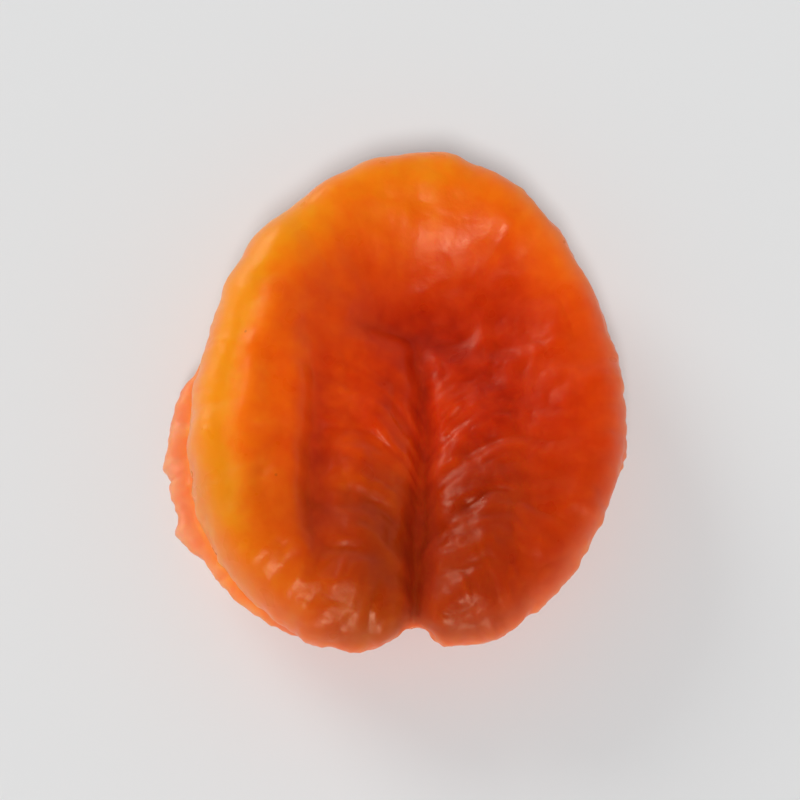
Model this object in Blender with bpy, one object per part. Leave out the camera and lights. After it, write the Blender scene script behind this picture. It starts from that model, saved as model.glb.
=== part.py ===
"""A pitted, dried apricot, lying on its back with its hollow face up.

The fruit was dried whole. Its stone was then pushed out through a slit at the stem end, and the
soft fruit was pressed flat, so it is one thick oval cushion with a sunken face. It is modelled
here as that happened: a ball of even triangles is pressed into an oval cushion, its face sinks
where the stone was, two lips close over the slit, and the skin shrinks into folds. Flat stretches
are then thinned, so that most triangles lie in the folds.

X runs across the fruit, +Y points to its rounded tip and -Y to its stem end, and Z is up.
Routes and their depths are in millimetres from the middle of the widest line. Every other size
is in metres.
"""

import math

import bmesh
import bpy
import numpy as np
from mathutils import Vector, noise

MM = 0.001
NAME = "dried_apricot"

# The cushion, before its face sinks
WIDTH = 37.6 * MM
TIP_REACH = 24.8 * MM
STEM_REACH = 22.0 * MM
FACE_HEIGHT = 7.0 * MM
BACK_HEIGHT = 6.0 * MM
FACE_FULLNESS = 2.6
BACK_FULLNESS = 2.25
TIP_FULLNESS = 1.84
STEM_FULLNESS = 2.1
OUTLINE_WAVES = [(3, 0.15 * MM, 0.6), (5, 0.12 * MM, 2.0)]
RIM_DIP = 0.9 * MM
RIM_DIP_AT = math.radians(-12)
CURL = 1.3 * MM
CURL_FROM = 0.4
CURL_SADDLE = 0.5
CURL_AT = math.radians(100)

# The hollow that the stone left, from under the tip to the stem end
HOLLOW_ROUTE = [(2.2, 8.6), (1.8, 1.0), (2.0, -9.0), (2.6, -21.0)]
HOLLOW_DEPTHS = [6.3, 5.8, 4.6, 1.6]
HOLLOW_REACH = 18.0 * MM
HOLLOW_LEAN = 1.4 * MM
DEEPEST_SHARE = 0.95
DEEPEST_SOFTNESS = 0.05

# The two lips that closed over the slit: a route, a height at each of its points, a half-width
LEFT_LIP = {
    "route": [(-2.2, 4.4), (-2.6, -2.5), (-2.8, -9.0), (-3.0, -16.0)],
    "heights": [1.1, 1.3, 1.6, 1.3],
    "half_width": 3.2 * MM,
}
RIGHT_LIP = {
    "route": [(5.0, 3.2), (6.6, -3.5), (6.6, -9.5), (7.2, -16.0)],
    "heights": [0.8, 1.3, 2.1, 1.5],
    "half_width": 4.0 * MM,
}
LIPS = [LEFT_LIP, RIGHT_LIP]

# Large creases: a route, a depth at each point, and how far the two sides take to close. The
# first side is on the left for someone who walks along the route from its first point.
CLEFT = {
    "route": [(0.6, 5.8), (1.2, 1.5), (1.9, -3.0), (2.1, -9.0), (2.6, -21.5)],
    "depths": [0.8, 1.8, 2.3, 2.8, 1.8],
    "sides": (1.05 * MM, 1.05 * MM),
}
LEDGE = {
    "route": [(-6.2, 8.2), (-3.2, 7.8), (0.6, 7.2), (3.4, 7.0), (6.0, 7.4)],
    "depths": [0.0, 0.8, 1.1, 0.8, 0.0],
    "sides": (2.2 * MM, 1.1 * MM),
}
STEP = {
    "route": [(-10.6, 14.5), (-9.0, 7.0), (-7.9, -1.5), (-7.0, -9.5), (-5.4, -16.5)],
    "depths": [0.0, 0.3, 1.0, 1.4, 0.0],
    "sides": (5.5 * MM, 0.8 * MM),
}
RIM_GROOVE = {
    "route": [(-11.2, 13.0), (-13.9, 7.5), (-15.1, 0.0), (-14.6, -7.0), (-11.5, -14.0)],
    "depths": [0.0, 0.6, 0.9, 0.8, 0.0],
    "sides": (1.1 * MM, 1.4 * MM),
}
MOUTH = {
    "route": [(2.1, -5.5), (2.2, -11.0), (2.5, -20.0)],
    "depths": [0.0, 1.8, 0.6],
    "sides": (1.9 * MM, 1.9 * MM),
}
CREASES = [CLEFT, LEDGE, STEP, RIM_GROOVE, MOUTH]

# Wrinkles: they branch off the cleft over both lips, cross the right slope and pucker the stem end
WRINKLE_ROUTES = [
    [(1.1, -3.9), (-0.4, -1.1), (-2.7, 0.2)],
    [(1.4, -6.9), (-1.0, -4.8), (-3.4, -2.9), (-5.0, 0.2)],
    [(1.6, -10.6), (-1.2, -9.0), (-3.6, -8.4), (-5.8, -6.6)],
    [(1.2, -15.0), (-1.8, -13.4), (-5.0, -13.6), (-7.6, -15.4)],
    [(2.2, -3.2), (3.7, -1.6), (5.9, 0.2)],
    [(2.5, -7.6), (4.6, -5.2), (6.4, -3.0), (9.2, -1.9), (12.8, -2.3)],
    [(2.9, -11.4), (5.2, -10.2), (8.0, -7.2), (12.4, -7.6)],
    [(3.4, -15.6), (6.6, -13.6), (10.2, -13.2)],
    [(5.2, 6.9), (6.8, 6.3), (9.2, 6.6)],
    [(5.0, 4.5), (6.8, 4.2), (8.6, 4.6)],
    [(-10.9, 6.4), (-11.9, 1.6), (-11.6, -3.6)],
    [(-9.6, -3.4), (-11.4, -7.4), (-10.4, -12.4)],
]
WRINKLE_DEPTHS = [0.1, 0.6, 0.0]
WRINKLE_FULL_LENGTH = 7.0 * MM
WRINKLE_SIDE = 0.85 * MM
CREASE_POWER = 1.4
CREASE_FLOOR = 0.22 * MM

# The edge, where the back of the fruit shows past the face on one side
EDGE_SEAM_DEPTH = 0.9 * MM
EDGE_SEAM_LEVEL = -0.8 * MM
EDGE_SEAM_HALF = 0.8 * MM
EDGE_SEAM_LEAST = 0.3
BACK_BULGE = 2.4 * MM
BACK_BULGE_LEVEL = -3.1 * MM
BACK_BULGE_HALF = 2.6 * MM
BACK_BULGE_FULLNESS = 1.2
BACK_BULGE_ROUNDNESS = 0.7
BACK_BULGE_AT = math.radians(201)
BACK_BULGE_SPREAD = math.radians(56)
STEM_NOTCH_AT = math.radians(-83)
STEM_NOTCHES = [(1.6 * MM, math.radians(22)), (2.2 * MM, math.radians(6))]

# The back: a faint seam from stem to tip, and the flat spot that the fruit rests on
BACK_SEAM_DEPTH = 0.6 * MM
BACK_SEAM_AT = -0.8 * MM
BACK_SEAM_HALF = 1.3 * MM
FLAT_SPOT_REACH = (5.2 * MM, 6.6 * MM)
FLAT_SPOT_FADE = 0.6
FLAT_CUT = 0.17 * MM

# Loose skin: soft lumps, a crumple of folds, and folds that run over the rim
LUMP_SIZE = 9.5 * MM
LUMP_HEIGHT = 0.45 * MM
CRUMPLE_SIZE = 4.6 * MM
CRUMPLE_HEIGHT = 0.22 * MM
CRUMPLE_ON_BACK = 1.5
FINE_SHARE = 0.4
FINE_RATIO = 2.1
SMOOTH_SLOPE = 0.55
SMOOTH_FROM = 2.0 * MM
RIM_FOLD_SIZE = 3.6 * MM
RIM_FOLD_HEIGHT = 0.24 * MM
RIM_FOLD_PULL = 0.30
CALM_SIDE = 0.5
CALM_FROM = 5.0 * MM
CALM_WIDTH = 6.0 * MM
FOLD_SOFTNESS = 0.05
FOLD_GAIN = 2.2
FOLD_LEVEL = 0.5
NEAR_MIDDLE = 0.1 * MM

# How far from the edge's own level the skin counts in full as face or back
BLEND_HEIGHT = 3.0 * MM

BALL_STEPS = 7
TRIANGLES_KEPT = 11800
CURVE_STEPS = 12
FLESH_COLOUR = (0.80, 0.20, 0.015, 1.0)
FLESH_ROUGHNESS = 0.42


def ease(t):
    """0 to 1 with soft ends as t goes from 0 to 1."""
    t = np.clip(t, 0.0, 1.0)
    return t * t * (3.0 - 2.0 * t)


def hump(t):
    """1 at t = 0, falling softly to 0 at t = 1 and beyond, on both sides."""
    t = np.clip(np.abs(t), 0.0, 1.0)
    return (1.0 - t * t) ** 2


def along_values(values, way):
    """The values spread evenly over a route, read at each point's share of the way."""
    return np.interp(way, np.linspace(0.0, 1.0, len(values)), values)


def smooth_route(route):
    """A smooth curve in metres through the points of a route."""
    points = np.array([route[0], *route, route[-1]], float) * MM
    curve = []
    for a, b, c, d in zip(points, points[1:], points[2:], points[3:]):
        for t in np.arange(CURVE_STEPS) / CURVE_STEPS:
            straight = 2 * b + (c - a) * t
            bend = (2 * a - 5 * b + 4 * c - d) * t**2 + (3 * b - a - 3 * c + d) * t**3
            curve.append(0.5 * (straight + bend))
    return np.array([*curve, points[-1]])


def trace(route, x, y):
    """Each point's distance from a route, negative on its left, and its share of the way."""
    curve = smooth_route(route)
    shares = np.linspace(0.0, 1.0, len(curve))
    nearest = np.full(x.shape, np.inf)
    side = np.ones(x.shape)
    way = np.zeros(x.shape)
    for start, end, first, last in zip(curve, curve[1:], shares, shares[1:]):
        run = end - start
        t = np.clip(((x - start[0]) * run[0] + (y - start[1]) * run[1]) / (run @ run), 0.0, 1.0)
        off_x = x - start[0] - t * run[0]
        off_y = y - start[1] - t * run[1]
        gap = np.hypot(off_x, off_y)
        closer = gap < nearest
        nearest = np.where(closer, gap, nearest)
        side = np.where(closer, np.where(off_x * run[1] < off_y * run[0], -1.0, 1.0), side)
        way = np.where(closer, first + (last - first) * t, way)
    return nearest * side, way


def rough(points, size, seed):
    """Soft noise from -1 to 1 over the skin, whose lumps are about this size."""
    shift = Vector((seed, seed, seed))
    return np.array([noise.noise(Vector(point) / size + shift) for point in points])


def puckered(values):
    """Noise turned into rounded folds with narrow creases between them, about 0 on average."""
    return FOLD_GAIN * np.sqrt(values**2 + FOLD_SOFTNESS**2) - FOLD_LEVEL


def turn_between(angle, other):
    """The angle from one direction to another, from minus half a turn to half a turn."""
    return (angle - other + math.pi) % (2 * math.pi) - math.pi


def unit_ball():
    """The points of a ball of even triangles, one row each, and its triangles."""
    ball = bmesh.new()
    bmesh.ops.create_icosphere(ball, subdivisions=BALL_STEPS, radius=1.0)
    points = np.array([v.co for v in ball.verts])
    faces = np.array([[v.index for v in f.verts] for f in ball.faces])
    ball.free()
    return points / np.linalg.norm(points, axis=1)[:, None], faces


def spread_points(ball):
    """The ball's points moved along it, so that they are evenly spaced once it is pressed flat."""
    upright = math.sqrt(WIDTH / (FACE_HEIGHT + BACK_HEIGHT))
    tall = ball * [1.0, 1.0, upright]
    return tall / np.linalg.norm(tall, axis=1)[:, None]


def outline(angle):
    """How far the cushion's edge is from the middle of its widest line, in each direction."""
    across, along = np.abs(np.cos(angle)), np.sin(angle)
    reach = np.where(along > 0, TIP_REACH, STEM_REACH)
    power = np.where(along > 0, TIP_FULLNESS, STEM_FULLNESS)
    edge = ((across / (WIDTH / 2)) ** power + (np.abs(along) / reach) ** power) ** (-1.0 / power)
    for depth, spread in STEM_NOTCHES:
        edge -= depth * hump(turn_between(angle, STEM_NOTCH_AT) / spread)
    for count, height, phase in OUTLINE_WAVES:
        edge += height * np.sin(count * angle + phase)
    return edge


def pressed_cushion(ball):
    """The points of the cushion that the fruit was pressed into, with no folds yet."""
    angle = np.arctan2(ball[:, 1], ball[:, 0])
    up = ball[:, 2] > 0
    bulging = hump(turn_between(angle, BACK_BULGE_AT) / BACK_BULGE_SPREAD)
    power = 2.0 / np.where(up, FACE_FULLNESS, BACK_FULLNESS + BACK_BULGE_FULLNESS * bulging)
    share_out = np.hypot(ball[:, 0], ball[:, 1]).clip(0.0, 1.0) ** power
    height = np.where(up, FACE_HEIGHT, -BACK_HEIGHT) * np.abs(ball[:, 2]) ** power
    height -= np.where(up, RIM_DIP * np.cos(angle - RIM_DIP_AT) * share_out * height / FACE_HEIGHT, 0.0)
    off_level = (height - BACK_BULGE_LEVEL) / BACK_BULGE_HALF
    roll = (1.0 - off_level**2).clip(0.0) ** BACK_BULGE_ROUNDNESS
    reach = outline(angle) * share_out + BACK_BULGE * bulging * roll
    return np.stack([reach * np.cos(angle), reach * np.sin(angle), height], axis=1)


def hollow(x, y):
    """How far the face sinks where the stone was."""
    gap, way = trace(HOLLOW_ROUTE, x, y)
    reach = HOLLOW_REACH + HOLLOW_LEAN * np.tanh(x / (HOLLOW_REACH / 2))
    return along_values(HOLLOW_DEPTHS, way) * MM * hump(gap / reach)


def lip(shape, x, y):
    """How far a lip swells up out of the hollow."""
    gap, way = trace(shape["route"], x, y)
    return along_values(shape["heights"], way) * MM * np.exp(-((gap / shape["half_width"]) ** 2))


def crease(route, depths, sides, x, y):
    """How far the skin drops into a crease, which is narrow and a little rounded at its bottom."""
    gap, way = trace(route, x, y)
    spread = np.where(gap < 0, *sides)
    rounded = np.hypot(gap, CREASE_FLOOR) - CREASE_FLOOR
    return along_values(depths, way) * MM * np.exp(-((rounded / spread) ** CREASE_POWER))


def sunken_face(x, y):
    """What share of the cushion's height over its edge is lost at each point of the face."""
    drop = hollow(x, y)
    for shape in LIPS:
        drop -= lip(shape, x, y)
    for shape in CREASES:
        drop += crease(shape["route"], shape["depths"], shape["sides"], x, y)
    for route in WRINKLE_ROUTES:
        length = np.linalg.norm(np.subtract(route[0], route[-1])) * MM
        strength = min(1.0, length / WRINKLE_FULL_LENGTH)
        drop += strength * crease(route, WRINKLE_DEPTHS, (WRINKLE_SIDE, WRINKLE_SIDE), x, y)
    share = drop / FACE_HEIGHT
    return share - DEEPEST_SOFTNESS * np.logaddexp(0.0, (share - DEEPEST_SHARE) / DEEPEST_SOFTNESS)


def back_seam(x, y):
    """The faint seam along the back, which the flat spot interrupts."""
    near = np.exp(-(((x - BACK_SEAM_AT) / BACK_SEAM_HALF) ** 2))
    return BACK_SEAM_DEPTH * near * (1.0 - flat_spot(x, y))


def flat_spot(x, y):
    """1 in the middle of the flat spot under the fruit, and 0 outside it."""
    away = np.hypot(x / FLAT_SPOT_REACH[0], y / FLAT_SPOT_REACH[1])
    return ease((1.0 - away) / FLAT_SPOT_FADE + 1.0)


def folds(points, on_back):
    """How far the loose skin stands out, as lumps, crumples and folds that run over the rim."""
    out = np.hypot(points[:, 0], points[:, 1])
    height = LUMP_HEIGHT * rough(points, LUMP_SIZE, 11.0)
    crumple = CRUMPLE_HEIGHT * (1.0 + (CRUMPLE_ON_BACK - 1.0) * on_back)
    far_slope = ease((points[:, 1] - SMOOTH_FROM) / (TIP_REACH / 2)) * ease(points[:, 2] / BLEND_HEIGHT)
    calm = ease((-points[:, 0] - CALM_FROM) / CALM_WIDTH) * ease(points[:, 2] / BLEND_HEIGHT)
    crumple *= (1.0 - SMOOTH_SLOPE * far_slope) * (1.0 - CALM_SIDE * calm)
    crumpled = rough(points, CRUMPLE_SIZE, 5.0)
    crumpled += FINE_SHARE * rough(points, CRUMPLE_SIZE / FINE_RATIO, 9.0)
    height += crumple * puckered(crumpled)
    pulled = points * [1.0, 1.0, RIM_FOLD_PULL]
    rim = WIDTH / 2
    pulled[:, :2] *= ((rim + RIM_FOLD_PULL * (out - rim)) / out.clip(NEAR_MIDDLE))[:, None]
    near_rim = ease((out - rim / 2) / (rim / 2))
    return height + RIM_FOLD_HEIGHT * puckered(rough(pulled, RIM_FOLD_SIZE, 7.0)) * near_rim


def edge_seam(points):
    """How far the skin is drawn in along the line where the back meets the face."""
    angle = np.arctan2(points[:, 1], points[:, 0])
    strong = hump(turn_between(angle, BACK_BULGE_AT) / BACK_BULGE_SPREAD)
    near = np.exp(-(((points[:, 2] - EDGE_SEAM_LEVEL) / EDGE_SEAM_HALF) ** 2))
    return EDGE_SEAM_DEPTH * near * (EDGE_SEAM_LEAST + (1.0 - EDGE_SEAM_LEAST) * strong)


def curled(x, y):
    """How far the rim curls up off the table, outside the flat spot."""
    away = np.hypot(x / (WIDTH / 2), y / TIP_REACH)
    saddle = 1.0 + CURL_SADDLE * np.cos(2.0 * (np.arctan2(y, x) - CURL_AT))
    return CURL * saddle * ((away - CURL_FROM).clip(0.0) / (1.0 - CURL_FROM)) ** 2


def outward(points, faces):
    """The direction that the skin faces at each point."""
    a, b, c = points[faces].transpose(1, 0, 2)
    facing = np.zeros(points.shape)
    for corner in faces.T:
        np.add.at(facing, corner, np.cross(b - a, c - a))
    return facing / np.linalg.norm(facing, axis=1)[:, None]


def dried_skin(ball, faces):
    """The finished skin, one row for each point of the ball."""
    cushion = pressed_cushion(spread_points(ball))
    x, y, z = cushion.T
    on_back = ease(-z / BLEND_HEIGHT)
    loose = 1.0 - on_back * flat_spot(x, y)
    height = folds(cushion, on_back) * loose - edge_seam(cushion)
    skin = cushion + outward(cushion, faces) * height[:, None]
    skin[:, 2] -= z.clip(0.0) * sunken_face(x, y)
    skin[:, 2] += on_back * back_seam(x, y) + curled(x, y)
    skin[:, 2] = np.maximum(skin[:, 2], skin[:, 2].min() + FLAT_CUT)
    return skin


def centred(points):
    """The points moved so that the middle of their box's underside is the origin."""
    low, high = points.min(axis=0), points.max(axis=0)
    return points - [(low[0] + high[0]) / 2, (low[1] + high[1]) / 2, low[2]]


def flesh_material():
    """Moist orange flesh under a thin waxy skin."""
    material = bpy.data.materials.new("dried_flesh")
    material.use_nodes = True
    shader = material.node_tree.nodes["Principled BSDF"]
    shader.inputs["Base Color"].default_value = FLESH_COLOUR
    shader.inputs["Roughness"].default_value = FLESH_ROUGHNESS
    shader.inputs["Metallic"].default_value = 0.0
    return material


def add_apricot():
    """The fruit as one closed mesh, with its flat stretches thinned."""
    ball, faces = unit_ball()
    mesh = bpy.data.meshes.new(NAME)
    mesh.from_pydata(centred(dried_skin(ball, faces)).tolist(), [], faces.tolist())
    mesh.materials.append(flesh_material())
    mesh.shade_smooth()
    fruit = bpy.data.objects.new(NAME, mesh)
    bpy.context.scene.collection.objects.link(fruit)
    thin = fruit.modifiers.new("thin_flat_stretches", "DECIMATE")
    thin.ratio = TRIANGLES_KEPT / len(faces)


def main():
    for old in list(bpy.data.objects):
        bpy.data.objects.remove(old)
    add_apricot()


if __name__ == "__main__":
    main()
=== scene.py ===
# %% [markdown]
# # A pitted, dried apricot
#
# This lesson dresses one dried apricot. The fruit was dried whole, its stone was pushed out
# through a slit at the stem end, and the soft fruit was pressed into a thick oval cushion with a
# sunken face. It lies on its back, with that face up: +Y goes along the fruit to its rounded tip,
# -Y to its stem end, and the left side is where x is negative.
#
# The solid model is loaded first, as a fixed frame. It says how large the fruit is and where it
# lies. The dressed fruit has the same large forms, with far more triangles, so that it can carry
# the fine wrinkles that a solid has no room for.

import math

import bmesh
import bpy
import numpy as np
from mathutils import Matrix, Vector, noise


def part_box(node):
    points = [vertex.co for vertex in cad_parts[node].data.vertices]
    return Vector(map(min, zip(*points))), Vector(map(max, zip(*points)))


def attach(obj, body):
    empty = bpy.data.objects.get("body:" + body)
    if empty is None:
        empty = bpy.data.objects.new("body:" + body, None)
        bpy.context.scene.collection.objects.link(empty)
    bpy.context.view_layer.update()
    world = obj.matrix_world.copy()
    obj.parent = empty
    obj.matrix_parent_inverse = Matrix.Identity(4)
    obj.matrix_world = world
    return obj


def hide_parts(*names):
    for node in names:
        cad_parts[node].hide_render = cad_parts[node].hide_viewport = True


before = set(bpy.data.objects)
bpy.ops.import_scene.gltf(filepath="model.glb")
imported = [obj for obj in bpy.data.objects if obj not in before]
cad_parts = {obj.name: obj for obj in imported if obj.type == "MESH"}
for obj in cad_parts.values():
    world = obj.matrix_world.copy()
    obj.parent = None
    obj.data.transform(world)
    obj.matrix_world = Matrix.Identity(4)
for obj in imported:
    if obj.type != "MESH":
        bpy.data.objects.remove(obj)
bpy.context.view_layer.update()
LOW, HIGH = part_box("dried_apricot")
MM = 0.001
size_mm = [round(side / MM, 1) for side in HIGH - LOW]
print("the fruit measures", size_mm, "mm")

# %% [markdown]
# ## Soft steps
#
# A dried fruit has no sharp form: each one begins and ends softly. Four small functions shape
# nearly everything here. The first goes from 0 to 1 with soft ends, and the second does the same
# between two places. The third is a soft hump that ends, and the fourth a soft band whose edges
# only fade.


# %% Soft steps
def ease(t):
    """0 to 1 with soft ends as t goes from 0 to 1."""
    t = np.clip(t, 0.0, 1.0)
    return t * t * (3.0 - 2.0 * t)


def rising(values, start, length):
    """0 up to the start, then softly up to 1 over the length after it."""
    return ease((values - start) / length)


def hump(t):
    """1 at t = 0, falling softly to 0 at t = 1 and beyond, on both sides."""
    t = np.clip(np.abs(t), 0.0, 1.0)
    return (1.0 - t * t) ** 2


def band(values, middle, half):
    """1 in the middle, about a third at half the width, and fading on both sides."""
    return np.exp(-(((values - middle) / half) ** 2))


print("halfway up a soft step:", ease(0.5), "and halfway down a hump:", hump(0.5))

# %% [markdown]
# ## A ball of even triangles
#
# The skin closes on itself all round, like a ball. A ball made of rings would have two poles,
# where the triangles crowd and the wrinkles pinch. One made from twenty equal triangles, each cut
# into smaller ones, is even everywhere, so the same wrinkle comes out as sharp on the back as on
# the face. Its points are moved toward the poles at first, because pressing it flat draws them
# out over the face again.

# %% A ball of even triangles
COARSE_STEPS = 6
CUTS_PER_EDGE = 2
WIDTH = 37.6 * MM
FACE_HEIGHT = 7.0 * MM
BACK_HEIGHT = 6.0 * MM


def even_ball():
    """The points of a ball of even triangles, one row each, and its triangles."""
    ball = bmesh.new()
    bmesh.ops.create_icosphere(ball, subdivisions=COARSE_STEPS, radius=1.0)
    bmesh.ops.subdivide_edges(ball, edges=ball.edges, cuts=CUTS_PER_EDGE, use_grid_fill=True)
    bmesh.ops.triangulate(ball, faces=ball.faces)
    points = np.array([v.co for v in ball.verts])
    faces = np.array([[v.index for v in f.verts] for f in ball.faces])
    ball.free()
    return points / np.linalg.norm(points, axis=1)[:, None], faces


ball, faces = even_ball()
tall = ball * [1.0, 1.0, math.sqrt(WIDTH / (FACE_HEIGHT + BACK_HEIGHT))]
ball = tall / np.linalg.norm(tall, axis=1)[:, None]
print("the ball has", len(ball), "points and", len(faces), "triangles")

# %% [markdown]
# ## The pressed cushion
#
# Seen from above, the pressed fruit is an oval that is a little longer toward its rounded tip and
# dips in at the stem end. Seen from the side, its face was pushed flatter than its back. A power
# of the ball's height makes each of the two as full or as slack as it should be. On one side the
# back shows past the face as a soft roll, and this bulge is pushed out where the roll is.

# %% The pressed cushion
TIP_REACH = 24.8 * MM
STEM_REACH = 22.0 * MM
FACE_FULLNESS = 2.6
BACK_FULLNESS = 2.25
TIP_FULLNESS = 1.84
STEM_FULLNESS = 2.1
OUTLINE_WAVES = [(3, 0.15 * MM, 0.6), (5, 0.12 * MM, 2.0)]
RIM_DIP = 0.9 * MM
RIM_DIP_AT = math.radians(-12)
BULGE = 2.4 * MM
BULGE_LEVEL = -3.1 * MM
BULGE_HALF = 2.6 * MM
BULGE_FULLNESS = 1.2
BULGE_ROUNDNESS = 0.7
BULGE_AT = math.radians(201)
BULGE_SPREAD = math.radians(56)
STEM_NOTCH_AT = math.radians(-83)
STEM_NOTCHES = [(1.6 * MM, math.radians(22)), (1.9 * MM, math.radians(8))]


def turn_between(angle, other):
    """The angle from one direction to another, from minus half a turn to half a turn."""
    return (angle - other + math.pi) % (2 * math.pi) - math.pi


def outline(angle):
    """How far the cushion's edge is from the middle of its widest line, in each direction."""
    across, along = np.abs(np.cos(angle)), np.sin(angle)
    reach = np.where(along > 0, TIP_REACH, STEM_REACH)
    power = np.where(along > 0, TIP_FULLNESS, STEM_FULLNESS)
    edge = ((across / (WIDTH / 2)) ** power + (np.abs(along) / reach) ** power) ** (-1.0 / power)
    for depth, spread in STEM_NOTCHES:
        edge -= depth * hump(turn_between(angle, STEM_NOTCH_AT) / spread)
    for count, height, phase in OUTLINE_WAVES:
        edge += height * np.sin(count * angle + phase)
    return edge


def pressed_cushion(ball):
    """The points of the cushion that the fruit was pressed into, with no folds yet."""
    angle = np.arctan2(ball[:, 1], ball[:, 0])
    up = ball[:, 2] > 0
    bulging = hump(turn_between(angle, BULGE_AT) / BULGE_SPREAD)
    power = 2.0 / np.where(up, FACE_FULLNESS, BACK_FULLNESS + BULGE_FULLNESS * bulging)
    share_out = np.hypot(ball[:, 0], ball[:, 1]).clip(0.0, 1.0) ** power
    height = np.where(up, FACE_HEIGHT, -BACK_HEIGHT) * np.abs(ball[:, 2]) ** power
    dip = RIM_DIP * np.cos(angle - RIM_DIP_AT) * share_out * height / FACE_HEIGHT
    height -= np.where(up, dip, 0.0)
    off_level = (height - BULGE_LEVEL) / BULGE_HALF
    roll = (1.0 - off_level**2).clip(0.0) ** BULGE_ROUNDNESS
    reach = outline(angle) * share_out + BULGE * bulging * roll
    return np.stack([reach * np.cos(angle), reach * np.sin(angle), height], axis=1)


cushion = pressed_cushion(ball)
x, y, z = cushion.T
print("the cushion is", [round(side / MM, 1) for side in np.ptp(cushion, axis=0)], "mm")

# %% [markdown]
# ## Routes over the face
#
# The hollow, the lips and the creases all follow lines over the face. Each line is given by a few
# points in millimetres, and a smooth curve is drawn through them. For every point of the skin we
# then ask two things: how far it is from the line, and how far along the line it is. The distance
# is negative on the left of the line, so that a crease can close faster on one side. No crease in
# dried skin runs as cleanly as a drawn curve, so soft noise makes every line wander a little.

# %% Routes over the face
CURVE_STEPS = 12
WANDER = 0.45 * MM
WANDER_SIZE = 2.6 * MM
WANDER_SEEDS = (17.0, 19.0)


def rough(points, size, seed):
    """Soft noise from -1 to 1 over the skin, whose lumps are about this size."""
    shift = Vector((seed, seed, seed))
    return np.array([noise.noise(Vector(point) / size + shift) for point in points])


wandering_x = x + WANDER * rough(cushion, WANDER_SIZE, WANDER_SEEDS[0])
wandering_y = y + WANDER * rough(cushion, WANDER_SIZE, WANDER_SEEDS[1])


def smooth_route(route):
    """A smooth curve in metres through the points of a route."""
    points = np.array([route[0], *route, route[-1]], float) * MM
    curve = []
    for a, b, c, d in zip(points, points[1:], points[2:], points[3:]):
        for t in np.arange(CURVE_STEPS) / CURVE_STEPS:
            straight = 2 * b + (c - a) * t
            bend = (2 * a - 5 * b + 4 * c - d) * t**2 + (3 * b - a - 3 * c + d) * t**3
            curve.append(0.5 * (straight + bend))
    return np.array([*curve, points[-1]])


def trace(route):
    """Each skin point's distance from a route, negative on its left, and its share of the way."""
    curve = smooth_route(route)
    shares = np.linspace(0.0, 1.0, len(curve))
    nearest = np.full(x.shape, np.inf)
    side = np.ones(x.shape)
    way = np.zeros(x.shape)
    for start, end, first, last in zip(curve, curve[1:], shares, shares[1:]):
        run = end - start
        from_x, from_y = wandering_x - start[0], wandering_y - start[1]
        t = np.clip((from_x * run[0] + from_y * run[1]) / (run @ run), 0.0, 1.0)
        off_x = from_x - t * run[0]
        off_y = from_y - t * run[1]
        gap = np.hypot(off_x, off_y)
        closer = gap < nearest
        nearest = np.where(closer, gap, nearest)
        side = np.where(closer, np.where(off_x * run[1] < off_y * run[0], -1.0, 1.0), side)
        way = np.where(closer, first + (last - first) * t, way)
    return nearest * side, way


def along_values(values, way):
    """The values spread evenly over a route, read at each point's share of the way."""
    return np.interp(way, np.linspace(0.0, 1.0, len(values)), values)


CLEFT_ROUTE = [(0.6, 5.8), (1.2, 1.5), (1.9, -3.0), (2.1, -9.0), (2.6, -21.5)]
cleft_gap, cleft_way = trace(CLEFT_ROUTE)
print("skin points within a millimetre of the cleft:", int((abs(cleft_gap) < MM).sum()))

# %% [markdown]
# ## The hollow and its swellings
#
# The stone left a hollow that is deepest a little past the middle, toward the tip, and the face
# slopes down into it in one long smooth slope. Over the slit, the two edges of the cut closed
# again as soft lips, which swell up out of the hollow and grow toward the stem end. A third,
# low and narrow swelling is the crest of the step that runs along the left lip.

# %% The hollow and its swellings
HOLLOW_ROUTE = [(2.2, 8.6), (1.8, 1.0), (2.0, -9.0), (2.6, -21.0)]
HOLLOW_DEPTHS = [6.3, 5.8, 4.6, 1.6]
HOLLOW_REACH = 18.0 * MM
HOLLOW_LEAN = 1.4 * MM
LEFT_LIP_ROUTE = [(-2.2, 4.4), (-2.6, -2.5), (-2.8, -9.0), (-3.0, -16.0)]
RIGHT_LIP_ROUTE = [(5.0, 3.2), (6.6, -3.5), (6.6, -9.5), (7.2, -16.0)]
STEP_CREST_ROUTE = [(-9.6, 3.0), (-9.2, -1.5), (-8.4, -8.5), (-7.2, -14.5)]
SWELLINGS = [
    # route, height at each of its points, half-width
    (LEFT_LIP_ROUTE, [0.9, 1.2, 1.5, 1.3], 3.2 * MM),
    (RIGHT_LIP_ROUTE, [0.6, 1.1, 1.9, 1.5], 4.0 * MM),
    (STEP_CREST_ROUTE, [0.0, 0.35, 0.4, 0.0], 1.1 * MM),
]


def hollow():
    """How far the face sinks where the stone was."""
    gap, way = trace(HOLLOW_ROUTE)
    reach = HOLLOW_REACH + HOLLOW_LEAN * np.tanh(x / (HOLLOW_REACH / 2))
    return along_values(HOLLOW_DEPTHS, way) * MM * hump(gap / reach)


def swelling(route, heights, half_width):
    """How far a lip or a crest swells up out of the hollow."""
    gap, way = trace(route)
    return along_values(heights, way) * MM * band(gap, 0.0, half_width)


hollow_depth = hollow()
lip_height = sum(swelling(*shape) for shape in SWELLINGS)
print("the hollow is", round(hollow_depth.max() / MM, 1), "mm deep")
print("the lips swell up by", round(lip_height.max() / MM, 1), "mm")

# %% [markdown]
# ## Creases and wrinkles
#
# A crease in drying skin is narrow at its bottom and rounded at its shoulders, which is what a
# falling exponential of the distance draws. The long ones are placed one by one: the cleft
# between the lips, the ledge across their top, the step beside the left lip, the groove between
# the two rolls of the left rim and the mouth at the stem end. Shorter wrinkles branch off the
# cleft over both lips and fade on the slopes.

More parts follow.
